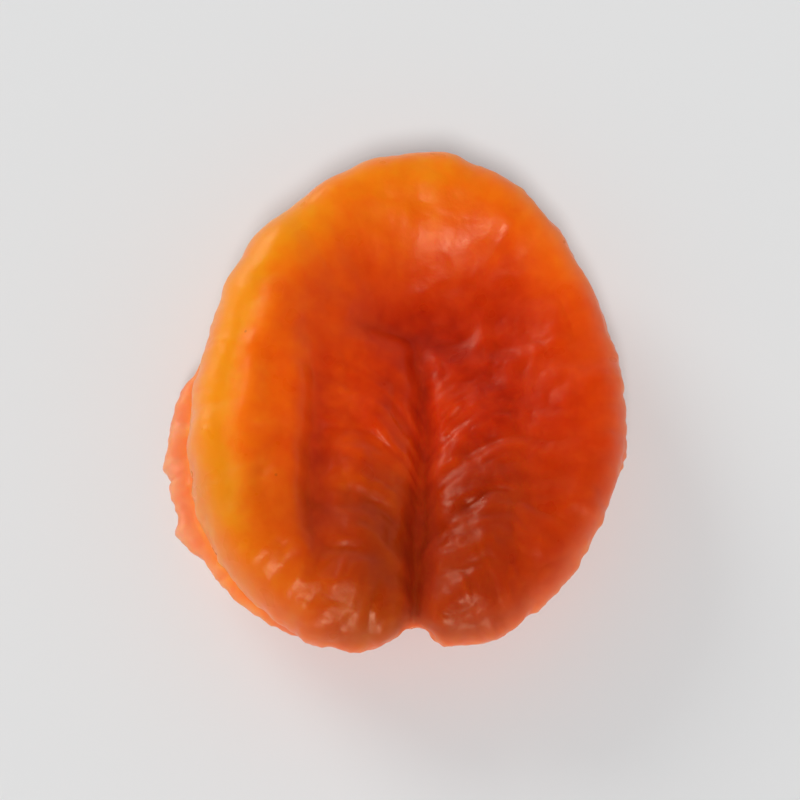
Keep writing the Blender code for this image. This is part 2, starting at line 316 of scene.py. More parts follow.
# %% The long creases
CREASE_POWER = 1.4
CREASE_FLOOR = 0.22 * MM
LEDGE_ROUTE = [(-6.2, 8.2), (-3.2, 7.8), (0.6, 7.2), (3.4, 7.0), (6.0, 7.4)]
STEP_ROUTE = [(-10.6, 14.5), (-9.0, 7.0), (-7.9, -1.5), (-7.0, -9.5), (-5.4, -16.5)]
RIM_GROOVE_ROUTE = [(-11.2, 13.0), (-13.9, 7.5), (-15.1, 0.0), (-14.6, -7.0), (-11.5, -14.0)]
MOUTH_ROUTE = [(2.1, -5.5), (2.2, -11.0), (2.5, -20.0)]
CREASES = [
    # route, depth at each of its points, how far the left and the right side take to close
    (CLEFT_ROUTE, [0.7, 1.7, 2.3, 2.8, 1.9], (0.6 * MM, 0.66 * MM)),
    (LEDGE_ROUTE, [0.0, 0.7, 0.9, 0.7, 0.0], (2.6 * MM, 1.4 * MM)),
    (STEP_ROUTE, [0.0, 0.3, 1.1, 1.4, 0.0], (4.5 * MM, 0.7 * MM)),
    (RIM_GROOVE_ROUTE, [0.0, 0.6, 0.9, 0.8, 0.0], (1.1 * MM, 1.4 * MM)),
    (MOUTH_ROUTE, [0.0, 1.7, 0.6], (1.8 * MM, 1.8 * MM)),
]


def crease(route, depths, sides):
    """How far the skin drops into a crease, which is narrow at its bottom."""
    gap, way = trace(route)
    spread = np.where(gap < 0, *sides)
    rounded = np.hypot(gap, CREASE_FLOOR) - CREASE_FLOOR
    return along_values(depths, way) * MM * np.exp(-((rounded / spread) ** CREASE_POWER))


crease_depth = sum(crease(*shape) for shape in CREASES)
print("the deepest crease drops", round(float(crease_depth.max()) / MM, 1), "mm")

# %% The shorter wrinkles
WRINKLE_ROUTES = [
    [(1.1, -3.9), (-0.4, -1.1), (-2.7, 0.2)],
    [(1.4, -6.9), (-1.0, -4.8), (-3.4, -2.9), (-5.0, 0.2)],
    [(1.6, -10.6), (-1.2, -9.0), (-3.6, -8.4), (-5.8, -6.6)],
    [(1.2, -15.0), (-1.8, -13.4), (-5.0, -13.6), (-7.6, -15.4)],
    [(2.2, -3.2), (3.7, -1.6), (5.9, 0.2)],
    [(2.5, -7.6), (4.6, -5.2), (6.4, -3.0), (9.2, -1.9), (12.8, -2.3)],
    [(2.9, -11.4), (5.2, -10.2), (8.0, -7.2), (12.4, -7.6)],
    [(3.4, -15.6), (6.6, -13.6), (10.2, -13.2)],
    [(5.2, 6.9), (6.8, 6.3), (9.2, 6.6)],
    [(5.0, 4.5), (6.8, 4.2), (8.6, 4.6)],
    [(-10.9, 6.4), (-11.9, 1.6), (-11.6, -3.6)],
    [(-9.6, -3.4), (-11.4, -7.4), (-10.4, -12.4)],
]
WRINKLE_DEPTHS = [0.1, 0.6, 0.0]
WRINKLE_FULL_LENGTH = 7.0 * MM
WRINKLE_SIDE = 0.85 * MM

for route in WRINKLE_ROUTES:
    length = np.linalg.norm(np.subtract(route[0], route[-1])) * MM
    strength = min(1.0, length / WRINKLE_FULL_LENGTH)
    crease_depth += strength * crease(route, WRINKLE_DEPTHS, (WRINKLE_SIDE, WRINKLE_SIDE))
print("creases:", len(CREASES), "and wrinkles:", len(WRINKLE_ROUTES))

# %% [markdown]
# ## Sinking the face
#
# All of these are drops of the face. They are taken as a share of the cushion's height over its
# own edge, so that a drop near the edge can never cut below it, and a share that comes close to
# all of the height is held back softly.

# %% Sinking the face
DEEPEST_SHARE = 0.95
DEEPEST_SOFTNESS = 0.05

lost = (hollow_depth - lip_height + crease_depth) / FACE_HEIGHT
lost -= DEEPEST_SOFTNESS * np.logaddexp(0.0, (lost - DEEPEST_SHARE) / DEEPEST_SOFTNESS)
print("the face loses up to", round(float(lost.max()), 2), "of its height")

# %% [markdown]
# ## Loose skin
#
# The flesh shrinks more than the skin that covers it, so the skin is left too large and stands up
# in folds. Plain noise gives hills and dales that look like dough. Taking how far the noise is
# from zero gives broad rounded folds with narrow creases between them, which is how loose skin
# lies. Near the rim the folds are drawn out, because there the skin has to go round the edge. The
# far slope and the left side of the face were stretched smooth, so they stay calmer.

# %% Loose skin
LUMP_SIZE = 9.5 * MM
LUMP_HEIGHT = 0.45 * MM
LUMP_SEED = 11.0
CRUMPLE_SIZE = 4.6 * MM
CRUMPLE_HEIGHT = 0.22 * MM
CRUMPLE_ON_BACK = 1.8
CRUMPLE_SEEDS = (5.0, 9.0)
FINE_SHARE = 0.4
FINE_RATIO = 2.1
SMOOTH_SLOPE = 0.55
SMOOTH_FROM = 2.0 * MM
RIM_FOLD_SIZE = 3.6 * MM
RIM_FOLD_HEIGHT = 0.24 * MM
RIM_FOLD_PULL = 0.30
RIM_FOLD_SEED = 7.0
NEAR_MIDDLE = 0.1 * MM
CALM_SIDE = 0.5
CALM_FROM = 5.0 * MM
CALM_WIDTH = 6.0 * MM
BLEND_HEIGHT = 3.0 * MM
FOLD_SOFTNESS = 0.05
FOLD_GAIN = 2.2
FOLD_LEVEL = 0.5

out = np.hypot(x, y)
on_face = ease(z / BLEND_HEIGHT)
on_back = ease(-z / BLEND_HEIGHT)
far_slope = rising(y, SMOOTH_FROM, TIP_REACH / 2) * on_face
calm_left = rising(-x, CALM_FROM, CALM_WIDTH) * on_face
near_rim = rising(out, WIDTH / 4, WIDTH / 4)


def puckered(values):
    """Noise turned into rounded folds with narrow creases between them, about 0 on average."""
    return FOLD_GAIN * np.sqrt(values**2 + FOLD_SOFTNESS**2) - FOLD_LEVEL


def drawn_out(points):
    """The skin's points with their distance from the middle squeezed, so that folds run outward."""
    squeezed = points * [1.0, 1.0, RIM_FOLD_PULL]
    rim = WIDTH / 2
    squeezed[:, :2] *= ((rim + RIM_FOLD_PULL * (out - rim)) / out.clip(NEAR_MIDDLE))[:, None]
    return squeezed


crumple = CRUMPLE_HEIGHT * (1.0 + (CRUMPLE_ON_BACK - 1.0) * on_back)
crumple *= (1.0 - SMOOTH_SLOPE * far_slope) * (1.0 - CALM_SIDE * calm_left)
crumpled = rough(cushion, CRUMPLE_SIZE, CRUMPLE_SEEDS[0])
crumpled += FINE_SHARE * rough(cushion, CRUMPLE_SIZE / FINE_RATIO, CRUMPLE_SEEDS[1])
over_rim = drawn_out(cushion)
folds = LUMP_HEIGHT * rough(cushion, LUMP_SIZE, LUMP_SEED) + crumple * puckered(crumpled)
folds += RIM_FOLD_HEIGHT * puckered(rough(over_rim, RIM_FOLD_SIZE, RIM_FOLD_SEED)) * near_rim
print("folds stand", round(float(np.ptp(folds)) / MM, 2), "mm from the lowest to the highest")

# %% [markdown]
# ## The edge, the curl and the flat spot
#
# The skin is drawn in along the line where the back meets the face. The rim has curled up a
# little in drying, so the fruit rests on the middle of its back, and its own weight has pressed a
# small flat spot there. A faint seam runs from stem to tip along the back. The folds move the
# skin along the direction that it faces, and everything is then set down on the frame's own box.

# %% The edge, the curl and the flat spot
EDGE_SEAM_DEPTH = 0.9 * MM
EDGE_SEAM_LEVEL = -0.8 * MM
EDGE_SEAM_HALF = 0.8 * MM
EDGE_SEAM_LEAST = 0.3
CURL = 1.3 * MM
CURL_FROM = 0.4
CURL_SADDLE = 0.5
CURL_AT = math.radians(100)
BACK_SEAM_DEPTH = 0.6 * MM
BACK_SEAM_AT = -0.8 * MM
BACK_SEAM_HALF = 1.3 * MM
FLAT_SPOT_REACH = (5.2 * MM, 6.6 * MM)
FLAT_SPOT_FADE = 0.6
FLAT_CUT = 0.17 * MM

angle = np.arctan2(y, x)
from_spot = np.hypot(x / FLAT_SPOT_REACH[0], y / FLAT_SPOT_REACH[1])
flat_spot = ease((1.0 - from_spot) / FLAT_SPOT_FADE + 1.0)
bulge_side = hump(turn_between(angle, BULGE_AT) / BULGE_SPREAD)


def outward(points):
    """The direction that the skin faces at each point."""
    a, b, c = points[faces].transpose(1, 0, 2)
    facing = np.zeros(points.shape)
    for corner in faces.T:
        np.add.at(facing, corner, np.cross(b - a, c - a))
    return facing / np.linalg.norm(facing, axis=1)[:, None]


seam = EDGE_SEAM_DEPTH * band(z, EDGE_SEAM_LEVEL, EDGE_SEAM_HALF)
seam *= EDGE_SEAM_LEAST + (1.0 - EDGE_SEAM_LEAST) * bulge_side
stand_out = folds * (1.0 - on_back * flat_spot) - seam
skin = cushion + outward(cushion) * stand_out[:, None]
skin[:, 2] -= z.clip(0.0) * lost
back_seam = BACK_SEAM_DEPTH * band(x, BACK_SEAM_AT, BACK_SEAM_HALF)
skin[:, 2] += on_back * back_seam * (1.0 - flat_spot)
away = np.hypot(x / (WIDTH / 2), y / TIP_REACH)
saddle = 1.0 + CURL_SADDLE * np.cos(2.0 * (angle - CURL_AT))
skin[:, 2] += CURL * saddle * ((away - CURL_FROM).clip(0.0) / (1.0 - CURL_FROM)) ** 2
skin[:, 2] = np.maximum(skin[:, 2], skin[:, 2].min() + FLAT_CUT)
low, high = skin.min(axis=0), skin.max(axis=0)
skin[:, :2] += (np.array(LOW + HIGH) / 2 - (low + high) / 2)[:2]
skin[:, 2] -= low[2]
print("the skin is", [round(side / MM, 2) for side in np.ptp(skin, axis=0)], "mm")

# %% [markdown]
# ## Notes for the wrinkles
#
# The fine wrinkles and the colours need to know where they are, so each point of the skin carries
# a few notes, which Blender calls attributes. The first ones are for the wrinkles. Two say which
# way these run: over the lips they branch up and outward from the cleft like twigs, and at the
# rim they run over the edge. The others say how high they stand: most of all on the back, less on
# the smooth slopes and at the stem end, and not at all on the flat spot.

# %% Notes for the wrinkles
BRANCH_RISE = 5.4 * MM
BRANCH_LENGTH = 3.2 * MM
TWIG_PULL = 0.26
TWIG_WANDER = 1.4 * MM
TWIG_WANDER_SIZE = 5.0 * MM
TWIG_WANDER_SEED = 13.0
SIDE_SHIFT = 40.0 * MM
# Each pair is where a part of the skin starts and how long it takes to be reached in full.
BELOW_LEDGE = (-6.5 * MM, 6.0 * MM)
STEM_END = (11.0 * MM, 6.0 * MM)
RIGHT_SLOPE = (9.0 * MM, 5.0 * MM)
ROLL_OUT = (7.0 * MM, 8.0 * MM)
# A band is given by its middle and its half-width.
LIP_BAND = (4.5 * MM, 4.5 * MM)
STEM_END_CALM = 0.85
FAR_SLOPE_CALM = 0.75
SIDE_SLOPE_CALM = 0.6
ROLL_CALM = 0.6
FACE_PLEATS_CALM = 0.45

beside = np.abs(cleft_gap)
branch = BRANCH_RISE * (1.0 - np.exp(-beside / BRANCH_LENGTH))
branch -= TWIG_WANDER * rough(cushion, TWIG_WANDER_SIZE, TWIG_WANDER_SEED)
lip_flow = np.stack([y - branch, TWIG_PULL * beside, SIDE_SHIFT * np.sign(cleft_gap)], axis=1)
on_lips = on_face * rising(-y, *BELOW_LEDGE) * band(beside, *LIP_BAND)
on_lips *= 1.0 - STEM_END_CALM * rising(out, *STEM_END)
off_spot = 1.0 - on_back * flat_spot
calm_right = rising(x, *RIGHT_SLOPE) * on_face
roll_side = bulge_side * rising(out, *ROLL_OUT)
loose = off_spot * (1.0 - FAR_SLOPE_CALM * far_slope)
loose *= (1.0 - SIDE_SLOPE_CALM * calm_left) * (1.0 - SIDE_SLOPE_CALM * calm_right)
loose *= 1.0 + on_back * (1.0 - ROLL_CALM * roll_side)
pleated = near_rim * off_spot * (1.0 - FACE_PLEATS_CALM * on_face)
print("the skin is up to", round(float(loose.max()), 1), "times as loose as on the lips")

# %% [markdown]
# ## Notes for painted shade, highlight and sheen
#
# Three notes are for colours that lie apart from the rest. The bottom of a long crease is deep,
# and gets little light, so its colour is darkened as painted shade. Along the edge a pale, pinkish
# line is a painted highlight; on the back the pale pink is partly the drier skin's own colour and
# partly a painted sheen on the crests of its folds. Beside the cleft and toward the stem end the
# face is darkened with a brown as painted shade, soonest on the right.

# %% Notes for painted shade, highlight and sheen
DEEP_SIDE = 1.0 * MM
DEEP_FROM = (0.3 * MM, 1.6 * MM)
LEFT_EDGE_AT = math.radians(184)
LEFT_EDGE_SPREAD = math.radians(82)
# Painted highlight along the edge, and the back's paleness and painted sheen:
EDGE_HIGHLIGHT_BAND = (0.2 * MM, 1.1 * MM)
EDGE_HIGHLIGHT = 0.32
LEFT_EDGE_HIGHLIGHT = 0.22
UNDER_EDGE = 2.0 * MM
BACK_PALENESS_AND_SHEEN = 0.35
RIGHT_SIDE = 10.0 * MM
# Painted shade beside the cleft and toward the stem end:
SHADE_BAND = (3.0 * MM, 6.0 * MM)
SHADE_LEAST = 0.3
SHADE_FROM = (1.0 * MM, 10.0 * MM)
SHADE_SOONER_RIGHT = 3.0 * MM

drops = sum(crease(route, depths, (DEEP_SIDE, DEEP_SIDE)) for route, depths, _ in CREASES)
# Painted shade: the bottom of a long crease is darkened in the colour.
deep = rising(drops, *DEEP_FROM) * on_face
inward = outline(angle) - out
left_edge = hump(turn_between(angle, LEFT_EDGE_AT) / LEFT_EDGE_SPREAD)
# Painted highlight: a pale pink line along the edge, strongest on the left.
edge_highlight = (EDGE_HIGHLIGHT + LEFT_EDGE_HIGHLIGHT * left_edge) * band(inward, *EDGE_HIGHLIGHT_BAND)
under_edge = ease(-z / UNDER_EDGE)
# The back: partly the drier skin's own paler colour, partly painted sheen on fold crests.
back_paleness_and_sheen = BACK_PALENESS_AND_SHEEN + (1.0 - BACK_PALENESS_AND_SHEEN) * roll_side
pale = np.maximum(edge_highlight * (1.0 - under_edge), back_paleness_and_sheen * under_edge)
right_side = ease(x / RIGHT_SIDE)
# Painted shade: darker beside the cleft and toward the stem end, sooner on the right.
shade = SHADE_LEAST + (1.0 - SHADE_LEAST) * band(beside, *SHADE_BAND)
shade *= on_face * rising(SHADE_SOONER_RIGHT * right_side - y, *SHADE_FROM)
print("pale up to", round(float(pale.max()), 2), "and browned up to", round(float(shade.max()), 2))

# %% [markdown]
# ## The tone of the flesh
#
# One more note says where on a single row of colours the flesh lies, from deep red at 0 to
# yellow-orange at 1. It starts from a middle tone. Toward the edge and the tip it is lighter,
# partly the thin flesh's own colour and partly a painted glow of light coming through it. The
# left side, a golden band along the left edge and the high far slope are lightened as painted
# light, where the lights from the back left and the front fall. The hollow, the left lip beside
# the step, the ledge, the step and the right side are darkened as painted shade.

# %% The tone of the flesh
MIDDLE_TONE = 0.50
# Painted glow along the left edge, and painted shade over the ledge and in the step:
PAINTED_GLOW_BAND = (2.6 * MM, 1.6 * MM)
LEDGE_SHADE_BAND = (-1.1 * MM, 2.6 * MM)
LEDGE_SHADE_SHARES = [0.3, 0.8, 1.0, 0.8, 0.0]
STEP_SHADE_BAND = (-0.7 * MM, 1.1 * MM)
STEP_SHADE_SHARES = [0.0, 0.3, 1.0, 1.0, 0.0]
STEP_SOFTNESS = 1.3 * MM
STEP_SOFTER = 4.5 * MM
STEP_SOFTER_FROM = (0.65, 0.35)
PAST_STEP_START = -0.5 * MM
LOWER_FACE = (-7.0 * MM, 7.0 * MM)
STEM_LIPS = (12.0 * MM, 8.0 * MM)
STEM_LIPS_LOSE = 0.6
HOLLOW_POWER = 2.5
HOLLOW_AT_STEM = 0.4
HOLLOW_FROM_STEM = (-5.0 * MM, 10.0 * MM)

ledge_gap, ledge_way = trace(LEDGE_ROUTE)
step_gap, step_way = trace(STEP_ROUTE)
softness = STEP_SOFTNESS + STEP_SOFTER * rising(step_way, *STEP_SOFTER_FROM)
past_step = rising(-step_gap, PAST_STEP_START, softness) * rising(-y, *LOWER_FACE)
past_step *= 1.0 - STEM_LIPS_LOSE * rising(-y, *STEM_LIPS)
# Painted shade in the hollow:
hollowness = (hollow_depth / hollow_depth.max()) ** HOLLOW_POWER
hollowness *= HOLLOW_AT_STEM + (1.0 - HOLLOW_AT_STEM) * rising(y, *HOLLOW_FROM_STEM)
ledge_shade = band(ledge_gap, *LEDGE_SHADE_BAND) * along_values(LEDGE_SHADE_SHARES, ledge_way)
step_shade = band(step_gap, *STEP_SHADE_BAND) * along_values(STEP_SHADE_SHARES, step_way)
everywhere = {
    # Lighter toward the edge and the tip: partly the thin flesh's own colour, partly painted glow.
    "toward the edge": 0.20 * rising(away, 0.55, 0.45),
    # Painted light on the left side, where the back-left light falls.
    "on the left side": 0.20 * rising(-x, 5.5 * MM, 10.0 * MM),
    "toward the tip": 0.10 * rising(y, 0.0, 20.0 * MM),
    "on the back's roll": -0.25 * on_back * roll_side,
}
over_face = {
    # Painted glow along the left edge, and painted light high on the far slope.
    "along the left edge": 0.26 * on_face * left_edge * band(inward, *PAINTED_GLOW_BAND),
    "high on the far slope": 0.08 * rising(y, 9.0 * MM, 9.0 * MM),
    # Painted shade in the hollow, beside the step, on the right side, over the ledge and in the
    # step.
    "in the hollow": -0.26 * hollowness,
    "on the left lip's side of the step": -0.06 * past_step,
    "on the right side": -0.13 * right_side,
    "low on the right side": -0.04 * rising(x, 0.0, 14.0 * MM) * rising(-y, -6.0 * MM, 16.0 * MM),
    "at the right rim": -0.06 * rising(x, 11.0 * MM, 6.0 * MM),
    "over the ledge": -0.16 * ledge_shade,
    "in the step": -0.12 * step_shade,
}
tone = MIDDLE_TONE + sum(everywhere.values()) + on_face * sum(over_face.values())
print("tones go from", round(float(tone.min()), 2), "to", round(float(tone.max()), 2))

# %% The skin as a mesh with its notes
mesh = bpy.data.meshes.new("apricot_flesh")
mesh.from_pydata(skin.tolist(), [], faces.tolist())
for name, values in [
    ("lip_flow", lip_flow),
    ("rim_flow", over_rim),
    ("on_lips", on_lips),
    ("near_rim", pleated),
    ("loose", loose),
    ("deep", deep),
    ("pale", pale),
    ("tone", tone),
    ("shade", shade),
]:
    kind, field = ("FLOAT_VECTOR", "vector") if values.ndim == 2 else ("FLOAT", "value")
    note = mesh.attributes.new(name, kind, "POINT")
    note.data.foreach_set(field, values.astype(np.float32).ravel())
fruit = bpy.data.objects.new("apricot_flesh", mesh)
bpy.context.scene.collection.objects.link(fruit)
print("notes on the skin:", [note.name for note in mesh.attributes if note.domain == "POINT"])

# %% [markdown]
# ## Wiring nodes
#
# Both the fine wrinkles and the material are made of nodes. A small helper puts a node into a
# tree and fills its sockets, either with a plain value or with the output of another node.


# %% Wiring nodes
def put(tree, kind, inputs=None, **settings):
    """A new node, with its settings, and its inputs set to values or joined to other outputs."""
    made = tree.nodes.new(kind)
    for name, value in settings.items():
        setattr(made, name, value)
    for name, value in (inputs or {}).items():
        if isinstance(value, bpy.types.NodeSocket):
            tree.links.new(value, made.inputs[name])
        else:
            made.inputs[name].default_value = value
    return made


def sum_up(tree, operation, *values):
    """The output of a Math node that works on these values."""
    return put(tree, "ShaderNodeMath", dict(enumerate(values)), operation=operation).outputs[0]


print("nodes are put in with put() and worked together with sum_up()")

# %% [markdown]
# ## Fine wrinkles with Geometry Nodes
#
# Fine wrinkles follow the skin and follow one rule everywhere, so Geometry Nodes make them: the
# sizes stay as named inputs that can be tried out. Three layers of folds are added up, each from
# its own noise: twigs over the lips, pleats over the rim and a fine crumple everywhere. The sum
# moves each point along the direction that it faces, and is stored as one more note, so that
# the material can tell the crest of a fold from its crease.

# %% Fine wrinkles with Geometry Nodes
FINE_FOLD_SOFTNESS = 0.14
FINE_DETAIL = 1.0


def noted(tree, name, kind="FLOAT"):
    """Reads one of the notes on the skin."""
    return put(tree, "GeometryNodeInputNamedAttribute", {"Name": name}, data_type=kind).outputs[0]


def fine_folds(tree, place, size, height, seed):
    """The height of a layer of fine folds whose noise is read at this place."""
    scale = sum_up(tree, "DIVIDE", 1.0, size)
    grain = put(
        tree,
        "ShaderNodeTexNoise",
        {"Vector": place, "W": seed, "Scale": scale, "Detail": FINE_DETAIL},
        noise_dimensions="4D",
        normalize=False,
    ).outputs[0]
    squared = sum_up(tree, "MULTIPLY_ADD", grain, grain, FINE_FOLD_SOFTNESS**2)
    ridge = sum_up(tree, "MULTIPLY_ADD", sum_up(tree, "SQRT", squared), FOLD_GAIN, -FOLD_LEVEL)
    return sum_up(tree, "MULTIPLY", ridge, height)


print("the crest of a fine fold is rounded over", FINE_FOLD_SOFTNESS, "of its noise")

# %% The tree of the fine wrinkles
WRINKLE_SIZES = {
    "Twig Size": 2.1 * MM,
    "Twig Height": 0.18 * MM,
    "Pleat Size": 1.6 * MM,
    "Pleat Height": 0.19 * MM,
    "Crumple Size": 1.3 * MM,
    "Crumple Height": 0.05 * MM,
}


def wrinkle_sockets(tree):
    """The named inputs of the wrinkle tree, and what it gives back."""
    face = tree.interface
    face.new_socket("Geometry", in_out="INPUT", socket_type="NodeSocketGeometry")
    for name in (*WRINKLE_SIZES, "Seed"):
        face.new_socket(name, in_out="INPUT", socket_type="NodeSocketFloat")
    face.new_socket("Flesh", in_out="INPUT", socket_type="NodeSocketMaterial")
    face.new_socket("Geometry", in_out="OUTPUT", socket_type="NodeSocketGeometry")


def all_folds(tree, given):
    """The three layers of folds added up, and made as high as the skin is loose."""
    layers = [
        (noted(tree, "lip_flow", "FLOAT_VECTOR"), "Twig", noted(tree, "on_lips")),
        (noted(tree, "rim_flow", "FLOAT_VECTOR"), "Pleat", noted(tree, "near_rim")),
        (put(tree, "GeometryNodeInputPosition").outputs[0], "Crumple", 1.0),
    ]
    total = 0.0
    for place, layer, share in layers:
        size, height = given[layer + " Size"], given[layer + " Height"]
        height = fine_folds(tree, place, size, height, given["Seed"])
        total = sum_up(tree, "MULTIPLY_ADD", height, share, total)
    return sum_up(tree, "MULTIPLY", total, noted(tree, "loose"))


def wrinkle_tree():
    """Geometry Nodes that lay fine folds over a skin and give it its material."""
    tree = bpy.data.node_groups.new("fine_wrinkles", "GeometryNodeTree")
    wrinkle_sockets(tree)
    given = put(tree, "NodeGroupInput").outputs
    fold = all_folds(tree, given)
    facing = put(tree, "GeometryNodeInputNormal").outputs[0]
    move = {0: facing, "Scale": fold}
    offset = put(tree, "ShaderNodeVectorMath", move, operation="SCALE").outputs[0]
    note = {"Geometry": given["Geometry"], "Name": "fold", "Value": fold}
    skin_noted = put(tree, "GeometryNodeStoreNamedAttribute", note).outputs[0]
    folding = {"Geometry": skin_noted, "Offset": offset}
    folded = put(tree, "GeometryNodeSetPosition", folding).outputs[0]
    smooth = put(tree, "GeometryNodeSetShadeSmooth", {"Geometry": folded}).outputs[0]
    whole = put(tree, "GeometryNodeRealizeInstances", {"Geometry": smooth}).outputs[0]
    finish = {"Geometry": whole, "Material": given["Flesh"]}
    dressed = put(tree, "GeometryNodeSetMaterial", finish).outputs[0]
    put(tree, "NodeGroupOutput", {"Geometry": dressed})
    return tree


wrinkles = wrinkle_tree()
print("the wrinkle tree has", len(wrinkles.nodes), "nodes")

# %% [markdown]
# ## The colour of the flesh
#
# The colour runs along one ramp, from the dark red of the hollow to the yellow-orange of the thin
# rim, and the tone on the skin says where on the ramp a point is. Two layers of soft noise mottle
# it. The crest of each fold is made a little lighter and its crease a little darker, as painted
# light and shade, and the long creases get painted shade. A pale, pinkish colour is then mixed in:
# a painted highlight along the edge, and on the back partly the skin's own paler colour and partly
# a painted sheen on the crests. A few small dark specks are scattered, and a dark brown is mixed in
# beside the cleft and toward the stem end as painted shade.

# %% Helpers for the colour and the gloss
TONE_COLOURS = [
    (0.00, (0.280, 0.005, 0.0003)),
    (0.20, (0.560, 0.018, 0.0004)),
    (0.45, (0.765, 0.060, 0.0006)),
    (0.65, (0.880, 0.125, 0.0018)),
    (0.85, (0.940, 0.220, 0.0030)),
    (1.00, (0.940, 0.320, 0.0050)),
]
# The colour of the painted highlight along the edge and of the sheen on the back.
HIGHLIGHT_AND_SHEEN_COLOUR = (0.84, 0.35, 0.19, 1.0)
SPECK_COLOUR = (0.22, 0.02, 0.004, 1.0)
# The colour of the painted shade toward the stem end.
SHADE_COLOUR = (0.12, 0.012, 0.0004, 1.0)


def own_place(tree):
    """The place of a point in the fruit's own space."""
    return put(tree, "ShaderNodeTexCoord").outputs["Object"]


def note_of(tree, name):
    """Reads one of the notes on the skin in a material."""
    return put(tree, "ShaderNodeAttribute", attribute_name=name).outputs["Fac"]


def spread(tree, value, low_in, high_in, low_out=0.0, high_out=1.0):
    """A value moved from one range into another, and held inside it."""
    steps = {"Value": value, 1: low_in, 2: high_in, 3: low_out, 4: high_out}
    return put(tree, "ShaderNodeMapRange", steps).outputs[0]


def soft_noise(tree, size, detail=2.0):
    """Noise from 0 to 1 in the fruit's own space, whose patches are about this size."""
    settings = {"Vector": own_place(tree), "Scale": 1.0 / size, "Detail": detail}
    return put(tree, "ShaderNodeTexNoise", settings).outputs[0]


def patchy(tree, size, low, high):
    """Patches of about this size whose value goes from low to high."""
    return spread(tree, soft_noise(tree, size), 0.3, 0.7, low, high)


def mixed(tree, share, first, second):
    """Two colours mixed by a share."""
    mix = put(tree, "ShaderNodeMix", {0: share, 6: first, 7: second}, data_type="RGBA")
    return mix.outputs[2]


print("colours on the ramp:", len(TONE_COLOURS))

# %% The colour of the flesh
PATCH_SIZE = 6.0 * MM
PATCH_TONE = 0.07
FLECK_SIZE = 1.4 * MM
FLECK_TONE = 0.035
CREST_HEIGHTS = (-0.12 * MM, 0.16 * MM)
# How much painted light the fold crests get, and painted shade their creases.
FOLD_LIGHT_AND_SHADE_TONE = 0.09
# How far the painted shade darkens the long creases.
CREASE_SHADE_TONE = 0.12
HIGHLIGHT_AND_SHEEN_IN_CREASE = 0.6
SPECK_SPACING = 5.0 * MM
SPECK_EDGE = (0.018, 0.032)
SPECK_STRENGTH = 0.3
SHADE_STRENGTH = 0.52


def ramp_colour(tree, tone):
    """The colour at a tone on the ramp."""
    ramp = put(tree, "ShaderNodeValToRGB", {"Fac": tone})
    ramp.color_ramp.interpolation = "B_SPLINE"
    stops = ramp.color_ramp.elements
    for place, _ in TONE_COLOURS[1:-1]:
        stops.new(place)
    for stop, (_, colour) in zip(stops, TONE_COLOURS):
        stop.color = (*colour, 1.0)
    return ramp.outputs[0]


def flesh_colour(tree):
    """The ramp's colour with mottling, painted light and shade, the pale highlight and sheen, and
    specks.
    """
    crest = spread(tree, note_of(tree, "fold"), *CREST_HEIGHTS, -1.0, 1.0)
    patches = patchy(tree, PATCH_SIZE, -PATCH_TONE, PATCH_TONE)
    flecks = patchy(tree, FLECK_SIZE, -FLECK_TONE, FLECK_TONE)
    tone = sum_up(tree, "ADD", note_of(tree, "tone"), sum_up(tree, "ADD", patches, flecks))
    # Painted light on the fold crests, painted shade in their creases.
    tone = sum_up(tree, "MULTIPLY_ADD", crest, FOLD_LIGHT_AND_SHADE_TONE, tone)
    # Painted shade in the long creases.
    tone = sum_up(tree, "MULTIPLY_ADD", note_of(tree, "deep"), -CREASE_SHADE_TONE, tone)
    on_crest = spread(tree, crest, -1.0, 1.0, HIGHLIGHT_AND_SHEEN_IN_CREASE, 1.0)
    pale = sum_up(tree, "MULTIPLY", note_of(tree, "pale"), on_crest)
    # Painted highlight along the edge, and paleness with painted sheen on the back.
    colour = mixed(tree, pale, ramp_colour(tree, tone), HIGHLIGHT_AND_SHEEN_COLOUR)
    cells = {"Vector": own_place(tree), "Scale": 1.0 / SPECK_SPACING}
    from_speck = put(tree, "ShaderNodeTexVoronoi", cells).outputs["Distance"]
    speck = spread(tree, from_speck, *SPECK_EDGE, SPECK_STRENGTH, 0.0)
    colour = mixed(tree, speck, colour, SPECK_COLOUR)
    # Painted shade toward the stem end: a dark brown mixed in.
    painted_shade = sum_up(tree, "MULTIPLY", note_of(tree, "shade"), SHADE_STRENGTH)
    return mixed(tree, painted_shade, colour, SHADE_COLOUR)


print("there is a small dark speck about every", round(SPECK_SPACING / MM), "mm")

# %% [markdown]
# ## Moist, translucent flesh
#
# The flesh is dense, moist and a little translucent. Light goes in, is scattered, and comes out
# again near by, red most of all and blue hardly. Subsurface scattering does this, with a reach
# of about two and a half millimetres for red. Over the flesh lies a thin moist gloss, rougher in
# some places than in others and dull in the creases, with very fine pores that the triangles are
# too large for. The gloss is tinted a little warm, so that it doesn't whiten the orange.

# %% Moist, translucent flesh
ROUGHNESS = (0.26, 0.44)
ROUGH_PATCH_SIZE = 3.0 * MM
DEEP_ROUGHNESS = 0.5
GLOSS_LEVEL = 0.28
GLOSS_TINT = (1.0, 0.68, 0.46, 1.0)
SCATTER_SHARE = 0.65
SCATTER_REACH = 2.4 * MM
SCATTER_BY_COLOUR = (1.0, 0.30, 0.08)
PORE_SIZE = 0.45 * MM
PORE_DEPTH = 0.05 * MM
PORE_STRENGTH = 0.4


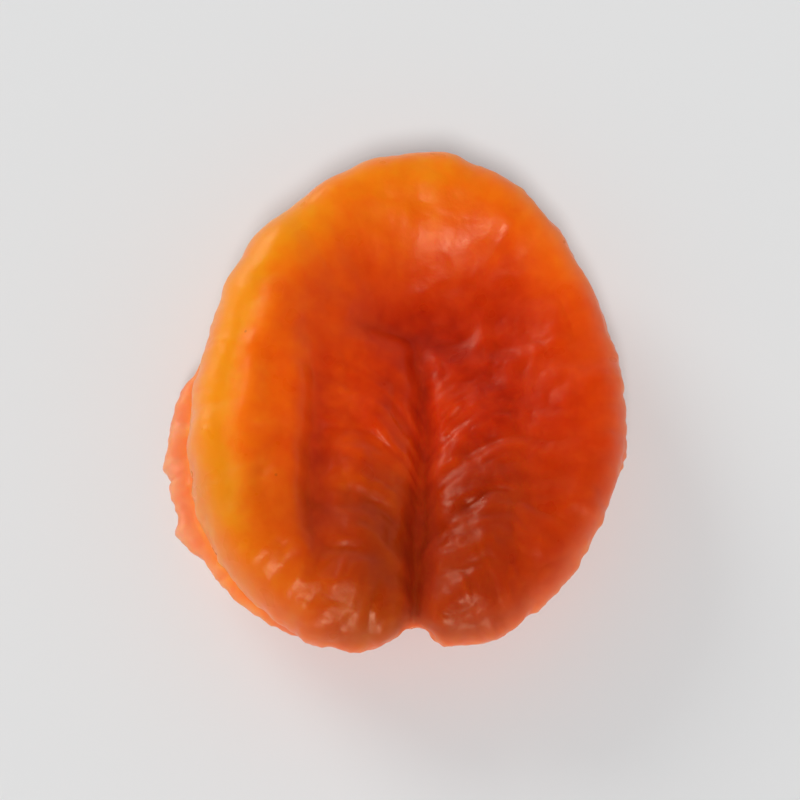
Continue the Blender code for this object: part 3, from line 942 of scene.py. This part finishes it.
def flesh_material():
    """Moist, translucent orange flesh under a thin gloss."""
    material = bpy.data.materials.new("moist_orange_flesh")
    material.use_nodes = True
    tree = material.node_tree
    shader = tree.nodes["Principled BSDF"]
    tree.links.new(flesh_colour(tree), shader.inputs["Base Color"])
    rough_patch = patchy(tree, ROUGH_PATCH_SIZE, *ROUGHNESS)
    dull = sum_up(tree, "MULTIPLY_ADD", note_of(tree, "deep"), DEEP_ROUGHNESS, rough_patch)
    tree.links.new(dull, shader.inputs["Roughness"])
    grain = {"Height": soft_noise(tree, PORE_SIZE, 3.0), "Distance": PORE_DEPTH}
    pores = put(tree, "ShaderNodeBump", {**grain, "Strength": PORE_STRENGTH})
    tree.links.new(pores.outputs[0], shader.inputs["Normal"])
    for name, value in [
        ("Specular IOR Level", GLOSS_LEVEL),
        ("Specular Tint", GLOSS_TINT),
        ("Subsurface Weight", SCATTER_SHARE),
        ("Subsurface Radius", SCATTER_BY_COLOUR),
        ("Subsurface Scale", SCATTER_REACH),
    ]:
        shader.inputs[name].default_value = value
    return material


flesh = flesh_material()
print("the flesh has", len(flesh.node_tree.nodes), "nodes")

# %% [markdown]
# ## Laying the wrinkles over the skin
#
# The tree goes on the skin as a modifier. Its inputs are set by the sockets' own identifiers,
# before Blender works it out for the first time. The result then becomes a plain mesh, because
# the export keeps meshes and not modifiers. Nothing may reach below what the fruit lies on, so a
# fold that would do so is pressed flat there.

# %% Laying the wrinkles over the skin
modifier = fruit.modifiers.new("fine_wrinkles", "NODES")
modifier.node_group = wrinkles
chosen = {**WRINKLE_SIZES, "Seed": 3.0, "Flesh": flesh}
for socket in wrinkles.interface.items_tree:
    if socket.in_out == "INPUT" and socket.name in chosen:
        modifier[socket.identifier] = chosen[socket.name]
view_layer = bpy.context.view_layer
view_layer.update()
depsgraph = bpy.context.evaluated_depsgraph_get()
wrinkled = bpy.data.meshes.new_from_object(
    fruit.evaluated_get(depsgraph), preserve_all_data_layers=True, depsgraph=depsgraph
)
fruit.modifiers.clear()
fruit.data = wrinkled
spots = np.zeros(3 * len(wrinkled.vertices), np.float32)
wrinkled.vertices.foreach_get("co", spots)
spots[2::3] = spots[2::3].clip(0.0)
wrinkled.vertices.foreach_set("co", spots)
wrinkled.update()
heights = np.zeros(len(wrinkled.vertices), np.float32)
wrinkled.attributes["fold"].data.foreach_get("value", heights)
print("the flesh has", len(wrinkled.polygons), "faces")
print("fine folds span", round(float(np.ptp(heights)) / MM, 2), "mm from the lowest to the highest")

# %% The flesh rides on the solid's body and stands for it
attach(fruit, "root")
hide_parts("dried_apricot")
print("the flesh stands for the solid fruit")

# %% [markdown]
# ## A pale floor and soft studio light
#
# The fruit lies on a plain pale floor. The main light comes from the front, a little over halfway
# up: it reaches into the hollow, and the far slope mirrors it as a soft gloss. A lower light from
# the back left brightens the thin rim there and draws the folds of the lips. Both are sun lights
# with a wide disc, so their shadows are soft and the floor is equally bright from every side. A
# pale room fills the rest, dimmer overhead than at the horizon, so that its reflection lays no
# haze over the face.

# %% A pale floor
FLOOR_SIDE = 12.0
FLOOR_COLOUR = (0.80, 0.81, 0.82, 1.0)
FLOOR_ROUGHNESS = 0.8

half = FLOOR_SIDE / 2
corners = [(-half, -half, 0), (half, -half, 0), (half, half, 0), (-half, half, 0)]
floor_mesh = bpy.data.meshes.new("floor")
floor_mesh.from_pydata(corners, [], [(0, 1, 2, 3)])
floor = bpy.data.objects.new("floor", floor_mesh)
bpy.context.scene.collection.objects.link(floor)
paper = bpy.data.materials.new("pale_paper")
paper.use_nodes = True
paper_shader = paper.node_tree.nodes["Principled BSDF"]
paper_shader.inputs["Base Color"].default_value = FLOOR_COLOUR
paper_shader.inputs["Roughness"].default_value = FLOOR_ROUGHNESS
floor_mesh.materials.append(paper)
print("the floor is", FLOOR_SIDE, "m wide")

# %% Soft studio light
MIDDLE = (LOW + HIGH) / 2


def toward(turn, rise):
    """The direction from the fruit at a turn from the front and a rise above the floor."""
    level = math.cos(rise)
    return Vector((math.sin(turn) * level, -math.cos(turn) * level, math.sin(rise)))


def soft_light(name, turn, rise, width, strength, colour):
    """A soft light far away, in a direction and as wide as these angles in degrees say."""
    lamp = bpy.data.lights.new(name, "SUN")
    lamp.energy = strength
    lamp.angle = math.radians(width)
    lamp.color = colour
    direction = toward(math.radians(turn), math.radians(rise))
    light = bpy.data.objects.new(name, lamp)
    light.location = MIDDLE + direction
    light.rotation_euler = direction.to_track_quat("Z", "Y").to_euler()
    bpy.context.scene.collection.objects.link(light)


soft_light("back_left_light", -130, 22, 29, 1.05, (1.0, 0.97, 0.93))
soft_light("front_light", 2, 58, 16, 1.75, (1.0, 0.99, 0.97))

# %% A pale room
ROOM_COLOUR = (0.97, 0.98, 1.0, 1.0)
HORIZON_STRENGTH = 0.80
OVERHEAD_STRENGTH = 0.10

world = bpy.data.worlds.new("pale_room")
world.use_nodes = True
room = world.node_tree
sky = room.nodes["Background"]
sky.inputs[0].default_value = ROOM_COLOUR
look = put(room, "ShaderNodeTexCoord").outputs["Generated"]
upward = put(room, "ShaderNodeSeparateXYZ", {0: look}).outputs["Z"]
room.links.new(spread(room, upward, 0.0, 1.0, HORIZON_STRENGTH, OVERHEAD_STRENGTH), sky.inputs[1])
bpy.context.scene.world = world
bpy.context.scene.view_settings.view_transform = "Standard"
print("the room is", HORIZON_STRENGTH, "bright at the horizon and", OVERHEAD_STRENGTH, "overhead")

# %% [markdown]
# ## The camera
#
# The camera looks down steeply on the face, from the stem end and a little from the right, so
# that the long slope into the hollow, the lips and the left rim are all in view. A long lens from
# far away keeps the outline true.

# %% The camera
CAMERA_TURN = math.radians(6)
CAMERA_RISE = math.radians(70)
VIEW_WIDTH = 0.070
LENS = 85.0
SENSOR = 36.0
CLIP_START = 0.01

back = toward(CAMERA_TURN, CAMERA_RISE)
lens = bpy.data.cameras.new("camera")
lens.lens = LENS
lens.sensor_width = SENSOR
lens.clip_start = CLIP_START
camera = bpy.data.objects.new("camera", lens)
camera.location = MIDDLE + back * (VIEW_WIDTH * LENS / SENSOR)
camera.rotation_euler = back.to_track_quat("Z", "Y").to_euler()
bpy.context.scene.collection.objects.link(camera)
bpy.context.scene.camera = camera
print("the camera is", round((camera.location - MIDDLE).length / MM), "mm from the fruit")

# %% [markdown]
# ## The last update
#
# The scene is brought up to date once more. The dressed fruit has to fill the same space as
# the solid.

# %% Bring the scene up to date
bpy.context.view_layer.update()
